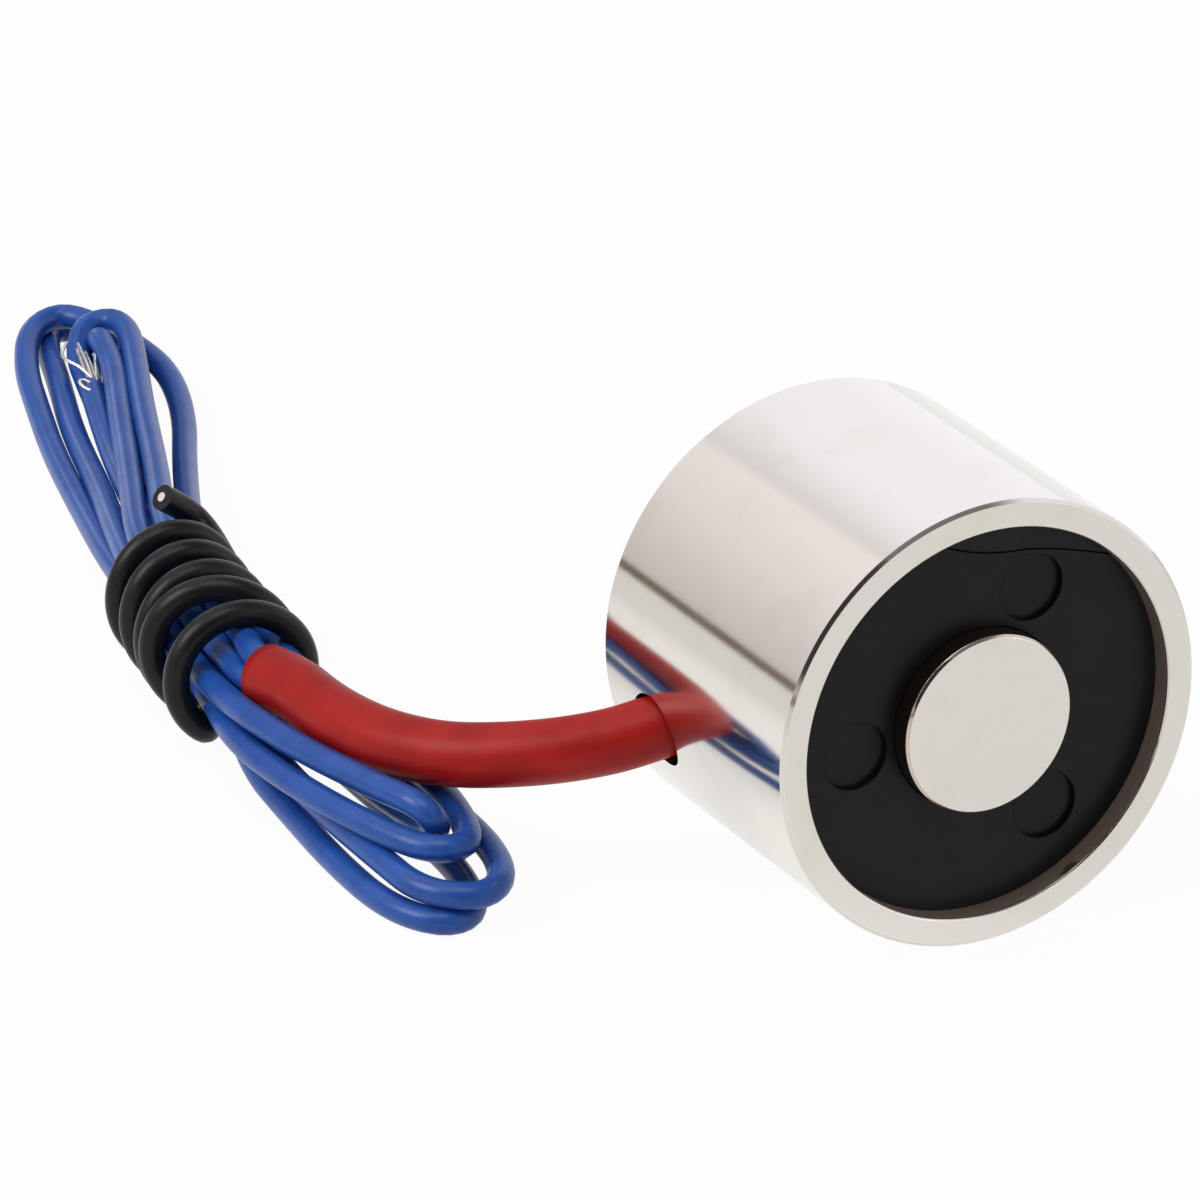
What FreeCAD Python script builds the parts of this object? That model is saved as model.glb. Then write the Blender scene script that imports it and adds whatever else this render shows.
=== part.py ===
"""Round holding electromagnet for a robot gripper, with two flying leads tied in a hank.

It lies on its side. The origin is the centre of the mounting face, on the axis of the
threaded hole. +Y points out of that hole, the holding face looks along -Y, and +Z is up.
All sizes are in millimetres.
"""

import FreeCAD, Part
import math
import os

Vec = FreeCAD.Vector

# Steel pot: a turned cup, open at the holding face.
BODY_DIA = 20.0
BODY_LENGTH = 15.0
RING_WALL = 1.25
BACK_THICKNESS = 2.0
OUTER_CHAMFER = 0.25
INNER_CHAMFER = 0.1

# Steel core: the round pole, with a spigot pressed through the back of the pot.
POLE_DIA = 8.0
POLE_CHAMFER = 0.2
SPIGOT_DIA = 6.0
THREAD_DIA = 3.0
THREAD_PITCH = 0.5
THREAD_DEPTH = 6.0
DRILL_POINT_HALF_ANGLE = 59.0
COUNTERSINK = 0.3

# Moulded bobbin: a tube with two flanges, flat on one side.
FACE_RECESS = 1.0
FLANGE_THICKNESS = 0.8
BOBBIN_TUBE_WALL = 0.6
BOBBIN_CLEARANCE = 0.05
LEAD_CHAMBER = 3.8
FLAT_DISTANCE = 7.3
FLAT_ANGLE = 75.0
MARK_DIA = 3.0
MARK_DEPTH = 0.25
MARK_CIRCLE_RADIUS = 5.9
MARK_ANGLES = (65.0, 185.0, 305.0)

# Winding, the tape round it, and the resin left between the tape and the pot.
TAPE_THICKNESS = 0.15
RESIN_WALL = 1.05

# Lead exit: a round hole in the side of the pot, through which a shrink sleeve passes.
EXIT_ANGLE = 15.0
EXIT_CLEARANCE = 0.6
SLEEVE_DIA = 2.8
SLEEVE_BORE = 2.46
LEAD_DIA = 1.2
LEAD_SPACING = 1.22
SOLDER_DIA = 0.9
SOLDER_LENGTH = 1.4

# Route of the sleeve and of the leads in it, as the distance out from the magnet's axis
# and the place along Y. It lies in one plane, which holds the exit hole's axis and +Y.
ROUTE = (
    (6.2, -4.5),
    (7.8, -4.1),
    (10.7, -3.6),
    (13.1, -2.35),
    (15.3, -0.5),
    (17.2, 1.7),
    (18.4, 4.3),
    (19.05, 7.0),
    (19.3, 9.7),
    (19.25, 12.2),
    (19.8, 14.5),
    (19.9, 16.4),
)
SLEEVE_START_SHARE = 0.15
SLEEVE_END_SHARE = 0.82
ARC_SHARE = 0.45

# Cords stay plain: they, the hank and the tie's turns have many-sided sections.
SLEEVE_SIDES = 12
CORD_SIDES = 10
HANK_SIDES = 14
RIB_SIDES = 8

# Hank of the two leads: the near loops, the waist inside the tie, and the far loops.
# Each section gives its place along Y, its middle in X, half its width, and its bottom
# and top above the surface that the magnet lies on.
WAIST_RADIUS = 2.4
WAIST_START = (-18.7, 17.1, 3.6)
WAIST_DIRECTION = (0.177, 0.984, 0.0)
WAIST_OVERHANG = 1.0
NEAR_LOOPS = (
    (-4.4, -18.4, 1.3, 0.0, 2.0),
    (-3.2, -18.4, 2.7, 0.0, 3.0),
    (0.5, -18.4, 3.8, 0.0, 3.3),
    (6.0, -18.9, 3.4, 0.0, 3.3),
    (11.0, -19.2, 2.8, 0.0, 3.2),
    (15.0, -19.0, 2.1, 0.7, 3.2),
    (17.0, -18.7, 1.3, 2.1, 4.2),
)
FAR_LOOPS = (
    (26.0, -17.1, 1.5, 2.2, 4.8),
    (29.0, -16.5, 2.3, 1.2, 5.1),
    (34.0, -14.9, 3.0, 0.5, 5.0),
    (40.0, -12.8, 3.6, 0.0, 4.4),
    (47.0, -10.2, 4.3, 0.0, 4.0),
    (54.0, -8.0, 4.4, 0.0, 3.8),
    (60.0, -6.2, 3.6, 0.0, 3.4),
    (63.5, -5.4, 2.3, 0.0, 2.6),
    (64.8, -5.2, 1.2, 0.0, 2.0),
)

# Tie: a stiff insulated wire, three turns side by side and one turn apart from them.
TIE_DIA = 1.2
TIE_WEB = 0.35
TIE_PITCH = 2.4
TIE_GAP = 4.6
TIE_TURNS = 4
TIE_TAIL = ((-14.4, 26.3, 5.3), (-14.35, 28.9, 5.8), (-15.6, 31.0, 6.4))
TIE_CORE_DIA = 0.6
TIE_CORE_DEPTH = 1.2

# Values that follow from those above.
BODY_RADIUS = BODY_DIA / 2
BORE_RADIUS = BODY_RADIUS - RING_WALL
POLE_RADIUS = POLE_DIA / 2
DRILL_RADIUS = (THREAD_DIA - THREAD_PITCH) / 2
FACE_Y = -BODY_LENGTH
FLOOR_Y = -BACK_THICKNESS
REAR_FLANGE_Y = FLOOR_Y - LEAD_CHAMBER
EXIT_HOLE_Y = FLOOR_Y - LEAD_CHAMBER / 2
EXIT_HOLE_RADIUS = (SLEEVE_DIA + EXIT_CLEARANCE) / 2
FRONT_FLANGE_Y = FACE_Y + FACE_RECESS
BOBBIN_BORE_RADIUS = POLE_RADIUS + BOBBIN_CLEARANCE
WINDING_INNER_RADIUS = BOBBIN_BORE_RADIUS + BOBBIN_TUBE_WALL
TAPE_OUTER_RADIUS = BORE_RADIUS - RESIN_WALL
WINDING_OUTER_RADIUS = TAPE_OUTER_RADIUS - TAPE_THICKNESS
WINDING_REAR_Y = REAR_FLANGE_Y - FLANGE_THICKNESS
WINDING_FRONT_Y = FRONT_FLANGE_Y + FLANGE_THICKNESS
LEAD_RADIUS = LEAD_DIA / 2
TIE_RADIUS = TIE_DIA / 2
SURFACE_Z = -BODY_RADIUS

EXIT_RAD = math.radians(EXIT_ANGLE)
OUTWARD = Vec(-math.cos(EXIT_RAD), 0, -math.sin(EXIT_RAD))
SIDEWAYS = Vec(-math.sin(EXIT_RAD), 0, math.cos(EXIT_RAD))


def revolved(outline):
    """Solid of revolution about Y from (radius, y) points."""
    points = [Vec(radius, y, 0) for radius, y in outline]
    face = Part.Face(Part.makePolygon(points + points[:1]))
    return face.revolve(Vec(0, 0, 0), Vec(0, 1, 0), 360)


def ring(inner_radius, outer_radius, y_front, y_rear):
    return revolved(((inner_radius, y_front), (outer_radius, y_front),
                     (outer_radius, y_rear), (inner_radius, y_rear)))


def rounded_path(points, start_share=0.0, end_share=1.0):
    """Straight runs joined by tangent arcs. Returns the wire and the arcs' radii.

    The path may start part of the way along its first run and end part of the way along
    its last one, which leaves its arcs as they are.
    """
    runs = [b - a for a, b in zip(points, points[1:])]
    edges = []
    radii = []
    start = points[0] + runs[0] * start_share
    for corner, run_in, run_out in zip(points[1:], runs, runs[1:]):
        half_turn = run_in.getAngle(run_out) / 2
        reach = ARC_SHARE * min(run_in.Length, run_out.Length)
        radius = reach / math.tan(half_turn)
        way_in = Vec(run_in).normalize()
        way_out = Vec(run_out).normalize()
        first = corner - way_in * reach
        last = corner + way_out * reach
        inward = (way_out - way_in).normalize()
        middle = corner + inward * (radius / math.cos(half_turn) - radius)
        edges.append(Part.LineSegment(start, first).toShape())
        edges.append(Part.Arc(first, middle, last).toShape())
        radii.append(radius)
        start = last
    edges.append(Part.LineSegment(start, points[-2] + runs[-1] * end_share).toShape())
    return Part.Wire(edges), radii


def many_sided(radius, sides, centre, direction, sideways):
    """Closed outline with its corners on a circle, and a flat towards each side."""
    across = Vec(sideways).normalize()
    upward = across.cross(direction).normalize()
    corners = []
    for index in range(sides):
        turn = 2 * math.pi * (index + 0.5) / sides
        corners.append(centre + across * (radius * math.cos(turn))
                       + upward * (radius * math.sin(turn)))
    return Part.makePolygon(corners + corners[:1])


def rod(points, radius, sides, start_share=0.0, end_share=1.0):
    """Solid of one girth along a rounded path that lies in one plane."""
    path, radii = rounded_path(points, start_share, end_share)
    first_run = points[1] - points[0]
    start = points[0] + first_run * start_share
    level = first_run.cross(points[2] - points[1])
    section = many_sided(radius, sides, start, first_run, level)
    solid = path.makePipeShell([section], True, True)
    return solid, path.Length, radii


def on_route(place, offset=0.0):
    out, y = place
    return OUTWARD * out + Vec(0, y, 0) + SIDEWAYS * offset


def make_pot_shell():
    rim = OUTER_CHAMFER
    lip = INNER_CHAMFER
    cup = revolved((
        (SPIGOT_DIA / 2, 0),
        (BODY_RADIUS - rim, 0),
        (BODY_RADIUS, -rim),
        (BODY_RADIUS, FACE_Y + rim),
        (BODY_RADIUS - rim, FACE_Y),
        (BORE_RADIUS + lip, FACE_Y),
        (BORE_RADIUS, FACE_Y + lip),
        (BORE_RADIUS, FLOOR_Y),
        (SPIGOT_DIA / 2, FLOOR_Y),
    ))
    middle = (BODY_RADIUS + BORE_RADIUS) / 2
    drill_start = OUTWARD * (middle - RING_WALL) + Vec(0, EXIT_HOLE_Y, 0)
    drill = Part.makeCylinder(EXIT_HOLE_RADIUS, 2 * RING_WALL, drill_start, OUTWARD)
    return cup.cut(drill)


def make_core_pole():
    point = DRILL_RADIUS / math.tan(math.radians(DRILL_POINT_HALF_ANGLE))
    return revolved((
        (0, FACE_Y),
        (POLE_RADIUS - POLE_CHAMFER, FACE_Y),
        (POLE_RADIUS, FACE_Y + POLE_CHAMFER),
        (POLE_RADIUS, FLOOR_Y),
        (SPIGOT_DIA / 2, FLOOR_Y),
        (SPIGOT_DIA / 2, 0),
        (DRILL_RADIUS + COUNTERSINK, 0),
        (DRILL_RADIUS, -COUNTERSINK),
        (DRILL_RADIUS, -THREAD_DEPTH),
        (0, -THREAD_DEPTH - point),
    ))


def flat_cutter():
    """Block that takes the flat off both flanges."""
    block = Part.makeBox(BODY_DIA, BODY_LENGTH, BODY_DIA,
                         Vec(FLAT_DISTANCE, FACE_Y, -BODY_RADIUS))
    block.rotate(Vec(0, 0, 0), Vec(0, 1, 0), -FLAT_ANGLE)
    return block


def make_bobbin():
    """The bobbin, and the same piece before its round ejector marks are sunk in."""
    blank = revolved((
        (BOBBIN_BORE_RADIUS, FRONT_FLANGE_Y),
        (BORE_RADIUS, FRONT_FLANGE_Y),
        (BORE_RADIUS, WINDING_FRONT_Y),
        (WINDING_INNER_RADIUS, WINDING_FRONT_Y),
        (WINDING_INNER_RADIUS, WINDING_REAR_Y),
        (BORE_RADIUS, WINDING_REAR_Y),
        (BORE_RADIUS, REAR_FLANGE_Y),
        (BOBBIN_BORE_RADIUS, REAR_FLANGE_Y),
    )).cut(flat_cutter())
    marks = []
    for angle in MARK_ANGLES:
        turn = math.radians(angle)
        centre = Vec(math.cos(turn), 0, math.sin(turn)) * MARK_CIRCLE_RADIUS
        centre.y = FRONT_FLANGE_Y
        marks.append(Part.makeCylinder(MARK_DIA / 2, MARK_DEPTH, centre, Vec(0, 1, 0)))
    return blank.cut(marks), blank


def make_winding():
    return ring(WINDING_INNER_RADIUS, WINDING_OUTER_RADIUS, WINDING_FRONT_Y, WINDING_REAR_Y)


def make_winding_tape():
    return ring(WINDING_OUTER_RADIUS, TAPE_OUTER_RADIUS, WINDING_FRONT_Y, WINDING_REAR_Y)


def make_sleeve():
    """The red shrink sleeve. Returns the hollow sleeve, its filled form and its length."""
    points = [on_route(place) for place in ROUTE[1:-1]]
    shares = (SLEEVE_START_SHARE, SLEEVE_END_SHARE)
    across_corners = SLEEVE_BORE / math.cos(math.pi / SLEEVE_SIDES)
    filled, length, radii = rod(points, SLEEVE_DIA / 2, SLEEVE_SIDES, *shares)
    bore, _, _ = rod(points, across_corners / 2, SLEEVE_SIDES, *shares)
    return filled.cut(bore), filled, length, radii


def make_lead(side):
    points = [on_route(place, side * LEAD_SPACING / 2) for place in ROUTE]
    return rod(points, LEAD_RADIUS, CORD_SIDES)


def make_splice(side):
    """Solder joint at a lead's inner end, where the winding's wire meets it."""
    start = on_route(ROUTE[0], side * LEAD_SPACING / 2)
    inward = on_route(ROUTE[0]) - on_route(ROUTE[1])
    return Part.makeCylinder(SOLDER_DIA / 2, SOLDER_LENGTH, start, inward)


def make_resin(fillers):
    """Potting resin: all that is left free inside the pot behind the front flange."""
    block = ring(POLE_RADIUS, BORE_RADIUS, FRONT_FLANGE_Y, FLOOR_Y)
    bobbin_space = ring(POLE_RADIUS, WINDING_INNER_RADIUS, FRONT_FLANGE_Y, REAR_FLANGE_Y)
    return block.cut([bobbin_space] + fillers)


def oval(section):
    y, middle, half_width, bottom, top = section
    half_height = (top - bottom) / 2
    corners = []
    for index in range(HANK_SIDES):
        turn = 2 * math.pi * index / HANK_SIDES
        corners.append(Vec(middle + half_width * math.cos(turn), y,
                           SURFACE_Z + (top + bottom) / 2 + half_height * math.sin(turn)))
    return Part.makePolygon(corners + corners[:1])


def above_surface(place):
    x, y, height = place
    return Vec(x, y, SURFACE_Z + height)


def waist_frame():
    start = above_surface(WAIST_START)
    along = Vec(*WAIST_DIRECTION).normalize()
    return start, along


def tie_stations():
    """Places of the tie's turns along the waist, from the one that stands apart."""
    return [0.0] + [TIE_GAP + i * TIE_PITCH for i in range(TIE_TURNS - 1)]


def make_hank():
    start, along = waist_frame()
    length = tie_stations()[-1] + TIE_RADIUS + 2 * WAIST_OVERHANG
    waist = Part.makeCylinder(WAIST_RADIUS, length, start - along * WAIST_OVERHANG, along)
    near = Part.makeLoft([oval(section) for section in NEAR_LOOPS], True, False)
    far = Part.makeLoft([oval(section) for section in FAR_LOOPS], True, False)
    return waist.fuse([near, far]).removeSplitter()


def make_tie_coil():
    """Outer shape of the tie's turns: round ribs on a thin web, on the hank's waist."""
    rib_middle = WAIST_RADIUS + TIE_RADIUS
    web = WAIST_RADIUS + TIE_WEB
    stations = tie_stations()
    first = stations[0] - TIE_RADIUS
    last = stations[-1] + TIE_RADIUS
    edges = []
    spot = Vec(WAIST_RADIUS, first, 0)

    def line_to(radius, y):
        nonlocal spot
        end = Vec(radius, y, 0)
        edges.append(Part.LineSegment(spot, end).toShape())
        spot = end

    for station in stations:
        if station != stations[0]:
            line_to(web, station - TIE_RADIUS)
        for index in range(RIB_SIDES // 2 + 1):
            turn = 2 * math.pi * index / RIB_SIDES
            line_to(rib_middle + TIE_RADIUS * math.sin(turn),
                    station - TIE_RADIUS * math.cos(turn))
        if station != stations[-1]:
            line_to(web, station + TIE_RADIUS)
    line_to(WAIST_RADIUS, last)
    line_to(WAIST_RADIUS, first)
    coil = Part.Face(Part.Wire(edges)).revolve(Vec(0, 0, 0), Vec(0, 1, 0), 360)
    start, along = waist_frame()
    coil.Placement = FreeCAD.Placement(start, FreeCAD.Rotation(Vec(0, 1, 0), along))
    return coil


def make_tie_tail():
    """The tie's free end, and the metal core that shows in its cut face."""
    points = [above_surface(place) for place in TIE_TAIL]
    tail, length, radii = rod(points, TIE_RADIUS, CORD_SIDES)
    back = (points[-2] - points[-1]).normalize()
    core = Part.makeCylinder(TIE_CORE_DIA / 2, TIE_CORE_DEPTH, points[-1], back)
    return tail.cut(core), core, length, radii


def main():
    os.makedirs("parts", exist_ok=True)
    bobbin, bobbin_blank = make_bobbin()
    winding = make_winding()
    tape = make_winding_tape()
    sleeve, sleeve_filled, sleeve_length, sleeve_radii = make_sleeve()
    hank = make_hank()
    coil = make_tie_coil()
    tail, tie_core, tail_length, tail_radii = make_tie_tail()
    pieces = {
        "pot_shell": make_pot_shell(),
        "core_pole": make_core_pole(),
        "bobbin": bobbin,
        "coil_winding": winding,
        "winding_tape": tape,
        "exit_sleeve": sleeve,
        "lead_hank": hank,
        "tie_wire": coil,
        "tie_wire_tail": tail.cut(coil),
        "tie_wire_core": tie_core,
    }
    splices = []
    leads = []
    for name, side in (("a", 1), ("b", -1)):
        lead, lead_length, lead_radii = make_lead(side)
        splice = make_splice(side)
        leads.append(lead)
        splices.append(splice)
        pieces["lead_" + name] = lead.cut(hank)
        pieces["splice_" + name] = splice
    fillers = [bobbin_blank, winding, tape, sleeve_filled] + leads + splices
    pieces["potting_resin"] = make_resin(fillers)
    for name, shape in pieces.items():
        if not shape.isValid() or shape.Volume <= 0:
            raise ValueError(name + " is not a sound solid")
        shape.exportStep("parts/" + name + ".step")
        print(name, len(shape.Solids), "solid,", round(shape.Volume, 2), "mm3")
    print("sleeve", round(sleeve_length, 1), "radii", [round(r, 1) for r in sleeve_radii])
    print("lead tube", round(lead_length, 1), "radii", [round(r, 1) for r in lead_radii])
    print("tie tail", round(tail_length, 1), "radii", [round(r, 1) for r in tail_radii])


main()
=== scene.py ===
"""Round holding electromagnet lying on its side, with two blue leads tied in a hank.

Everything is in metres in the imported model's frame: the holding face looks along -Y, the
threaded hole along +Y, and the magnet and its leads lie on the surface below them.
"""

import math

import bmesh
import bpy
from mathutils import Matrix, Vector


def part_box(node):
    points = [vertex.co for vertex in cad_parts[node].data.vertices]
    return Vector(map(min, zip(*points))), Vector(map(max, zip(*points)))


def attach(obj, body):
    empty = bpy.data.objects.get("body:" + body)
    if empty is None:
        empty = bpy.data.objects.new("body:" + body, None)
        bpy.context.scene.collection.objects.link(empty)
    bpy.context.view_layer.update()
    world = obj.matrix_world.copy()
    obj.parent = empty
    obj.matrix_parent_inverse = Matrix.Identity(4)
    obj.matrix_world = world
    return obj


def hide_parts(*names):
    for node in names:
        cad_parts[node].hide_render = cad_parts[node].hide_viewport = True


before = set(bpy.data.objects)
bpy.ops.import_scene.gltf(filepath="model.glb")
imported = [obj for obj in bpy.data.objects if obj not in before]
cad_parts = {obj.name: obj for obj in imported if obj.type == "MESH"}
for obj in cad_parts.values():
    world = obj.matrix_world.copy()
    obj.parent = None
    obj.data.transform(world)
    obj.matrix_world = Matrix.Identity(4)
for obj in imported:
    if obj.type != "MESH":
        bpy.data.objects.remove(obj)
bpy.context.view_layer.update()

MM = 0.001

# ---------------------------------------------------------------- places from the CAD

pot_low, pot_high = (Vector(corner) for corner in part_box("pot_shell"))
POT_RADIUS = (pot_high.x - pot_low.x) / 2
FACE_Y = pot_low.y
BACK_Y = pot_high.y
SURFACE_Z = pot_low.z
bobbin_low, bobbin_high = (Vector(corner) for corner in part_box("bobbin"))
BORE_RADIUS = (bobbin_high.x - bobbin_low.x) / 2
FLANGE_Y = bobbin_low.y
pole_low, pole_high = (Vector(corner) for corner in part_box("core_pole"))
POLE_RADIUS = (pole_high.x - pole_low.x) / 2
BACK_THICKNESS = 2.0 * MM
POT_FLOOR_Y = BACK_Y - BACK_THICKNESS
SPIGOT_RADIUS = 3.0 * MM
THREAD_RADIUS = 1.5 * MM
THREAD_PITCH = 0.5 * MM
TAPPED_RADIUS = 1.25 * MM
THREAD_DEPTH = 6.0 * MM

EXIT_ANGLE = math.radians(15.0)
OUTWARD = Vector((-math.cos(EXIT_ANGLE), 0.0, -math.sin(EXIT_ANGLE)))
SIDEWAYS = Vector((-math.sin(EXIT_ANGLE), 0.0, math.cos(EXIT_ANGLE)))
EXIT_HOLE_Y = -3.9 * MM
EXIT_HOLE_RADIUS = 1.7 * MM

SLEEVE_RADIUS = 1.4 * MM
SLEEVE_BORE = 1.23 * MM
LEAD_DIA = 1.2 * MM
LEAD_OFFSET = 0.61 * MM
MARK_RADIUS = 1.5 * MM
MARK_CIRCLE_RADIUS = 5.9 * MM
MARK_ANGLES = (65.0, 185.0, 305.0)
TIE_DIA = 1.2 * MM
TIE_CORE_RADIUS = 0.22 * MM
STRAND_RADIUS_A = 0.085 * MM
STRAND_RADIUS_B = 0.075 * MM
PART_LINE_RADIUS = 0.035 * MM


def places(*points):
    """Points in metres from points given in millimetres."""
    return [Vector(point) * MM for point in points]


# ------------------------------------------------------------------------- cord routes

# The route of sleeve and leads out of the exit hole, as distance from the axis and place
# along Y. The leads leave it for the hank after LEAD_ROUTE_POINTS.
ROUTE = ((6.2, -4.5), (7.8, -4.1), (10.7, -3.6), (13.1, -2.35), (15.3, -0.5),
         (17.2, 1.7), (18.4, 4.3), (19.05, 7.0), (19.3, 9.7), (19.25, 12.2),
         (19.8, 14.5), (19.9, 16.4))
SLEEVE_START_SHARE = 0.15
SLEEVE_END_SHARE = 0.82
LEAD_ROUTE_POINTS = 10
CORD_ORDER = 3
CORD_STEPS = 8

# The waist of the hank, which the tie goes round. Places in it are in millimetres.
WAIST_START, = places((-18.7, 17.1, -6.4))
WAIST_ALONG = Vector((0.177, 0.984, 0.0))
WAIST_ACROSS = Vector((0.984, -0.177, 0.0))
WAIST_UP = Vector((0.0, 0.0, 1.0))
TIE_NEAR_END = 1.1
TIE_FAR_END = 8.5
DRAWN_IN = 0.87
DRAWN_ASIDE = 0.30


def on_route(place, offset=0.0):
    """A place on the route out of the exit hole, or beside it by an offset."""
    out, y = place
    return OUTWARD * out * MM + Vector((0, y * MM, 0)) + SIDEWAYS * offset


def in_waist(across, up, along):
    """A place in the hank's waist, measured from where the waist starts."""
    return (WAIST_START + WAIST_ALONG * along * MM + WAIST_ACROSS * across * MM
            + WAIST_UP * up * MM)


def through_tie(across, up, backwards=False):
    """Two points that take a pass straight through the tie, drawn in at its far end."""
    near = in_waist(across, up, TIE_NEAR_END)
    far = in_waist(across * DRAWN_IN - DRAWN_ASIDE, up * DRAWN_IN, TIE_FAR_END)
    return [far, near] if backwards else [near, far]


LEAD_A = (
    [on_route(place, LEAD_OFFSET) for place in ROUTE[:LEAD_ROUTE_POINTS]]
    + places((-19.3, 14.4, -4.45))
    + through_tie(0.35, 1.75)
    + places((-15.6, 31.0, -5.0), (-12.2, 38.6, -6.2), (-8.4, 48.0, -7.1),
             (-5.7, 54.4, -7.2), (-4.65, 57.3, -7.1), (-4.8, 58.9, -7.1),
             (-6.2, 59.1, -7.35), (-7.35, 57.4, -8.0), (-7.55, 55.8, -8.85),
             (-8.2, 53.0, -9.4), (-9.7, 46.8, -9.4), (-12.7, 39.6, -9.2),
             (-15.5, 32.0, -9.0))
    + through_tie(-0.15, -1.79, backwards=True)
    + places((-20.1, 13.2, -9.0), (-20.25, 9.8, -9.4), (-20.9, 4.0, -9.4),
             (-21.0, -1.0, -9.4), (-19.7, -3.7, -9.4), (-18.0, -3.4, -9.4),
             (-17.0, -0.8, -9.4), (-16.5, 2.6, -9.4), (-16.6, 9.5, -9.2))
    + through_tie(1.02, -1.42)
    + places((-13.4, 33.5, -8.9), (-10.6, 41.6, -9.35), (-7.2, 49.8, -9.4),
             (-5.1, 55.6, -9.4), (-4.0, 60.4, -9.4), (-4.1, 63.4, -9.4),
             (-5.7, 64.1, -9.4), (-6.95, 61.6, -9.4), (-8.0, 58.2, -9.4),
             (-10.4, 51.6, -9.35), (-13.05, 43.0, -8.5), (-16.0, 35.0, -7.2))
    + through_tie(-1.62, -0.05, backwards=True)
    + places((-20.9, 13.0, -5.9), (-20.5, 8.0, -5.8), (-19.4, 2.8, -5.75),
             (-18.75, -0.2, -5.55), (-18.1, -0.4, -6.8), (-17.85, 1.6, -7.3),
             (-18.1, 4.6, -7.3), (-18.5, 10.0, -7.1))
    + through_tie(0.35, 0.50)
    + places((-15.8, 31.2, -6.2), (-14.5, 35.0, -7.0), (-12.6, 41.0, -7.9),
             (-10.1, 48.6, -8.4), (-8.5, 53.4, -8.0))
)

LEAD_B = (
    [on_route(place, -LEAD_OFFSET) for place in ROUTE[:LEAD_ROUTE_POINTS]]
    + places((-19.5, 14.4, -5.7))
    + through_tie(-0.75, 1.05)
    + places((-17.2, 30.4, -5.4), (-13.4, 39.0, -6.4), (-9.5, 48.2, -7.2),
             (-7.4, 53.0, -7.3), (-6.6, 55.8, -7.15), (-6.2, 57.5, -7.2),
             (-6.0, 57.6, -8.6), (-6.35, 55.9, -9.35), (-7.0, 53.2, -9.35),
             (-8.5, 48.8, -8.5), (-11.3, 40.6, -7.7), (-15.1, 31.6, -7.6))
    + through_tie(-0.30, -0.55, backwards=True)
    + places((-19.8, 12.6, -8.0), (-20.15, 6.2, -8.2), (-20.3, 0.8, -8.1),
             (-20.2, -2.45, -8.2), (-18.5, -4.3, -8.2), (-16.8, -3.6, -8.2),
             (-15.7, -1.0, -8.2), (-15.3, 3.0, -8.2), (-15.7, 10.5, -7.8))
    + through_tie(1.70, -0.40)
    + places((-12.9, 33.8, -7.2), (-8.3, 43.8, -8.6), (-5.3, 49.8, -8.9),
             (-3.9, 54.1, -8.6), (-3.9, 57.1, -8.3), (-4.6, 60.8, -8.15),
             (-5.6, 63.0, -8.1), (-7.7, 62.2, -8.4), (-9.45, 58.8, -8.9),
             (-10.6, 55.0, -9.3), (-12.3, 49.6, -9.4), (-14.55, 41.6, -8.9),
             (-16.9, 33.6, -8.0))
    + through_tie(-1.05, -1.30, backwards=True)
    + places((-21.3, 12.6, -7.1), (-21.2, 7.0, -7.0), (-20.2, 1.6, -7.0),
             (-19.2, -1.5, -7.0), (-17.5, -1.9, -7.0), (-16.5, 0.4, -7.0),
             (-16.0, 4.0, -6.8), (-16.9, 10.6, -6.0))
    + through_tie(1.50, 0.95)
)


# The tie's turns, from the widest, which stands apart, to the last: the place of each
# along the waist, its reach to either side, and its middle, in millimetres. Their height
# is the same. A turn passes over to the next one below the waist.
TIE_TURNS = ((0.0, 3.0, 0.0), (2.9, 2.9, -0.1), (4.8, 2.7, -0.27), (7.1, 2.65, -0.33),
             (9.4, 2.65, -0.33))
TIE_TURN_HEIGHT = 3.0
TIE_ASKEW_TURN = 1
TIE_ANGLES = range(-60, 1834, 20)
TIE_TURN_STARTS = -110
TIE_CROSSING = (250, 330)
TIE_TAIL = places((-14.85, 28.3, -4.4), (-15.6, 28.9, -3.5), (-16.75, 28.7, -2.7))


def tie_route():
    """The turns round the waist, the first the widest and the second one askew, and
    then the free end."""
    cross_from, cross_to = TIE_CROSSING
    last = len(TIE_TURNS) - 1
    points = []
    for angle in TIE_ANGLES:
        turn = (angle - TIE_TURN_STARTS) // 360
        crossed = (angle - 360 * turn - cross_from) / (cross_to - cross_from)
        share = max(0.0, min(1.0, crossed))
        share = share * share * (3 - 2 * share)
        first, second = min(turn, last), min(turn + 1, last)
        along, reach, middle = (start + (end - start) * share for start, end
                                in zip(TIE_TURNS[first], TIE_TURNS[second]))
        skew = ((1 - share) * (first == TIE_ASKEW_TURN)
                + share * (second == TIE_ASKEW_TURN))
        turned = math.radians(angle)
        points.append(in_waist(middle + reach * math.cos(turned),
                               TIE_TURN_HEIGHT * math.sin(turned),
                               along - skew * math.cos(turned)))
    return points + TIE_TAIL


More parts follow.
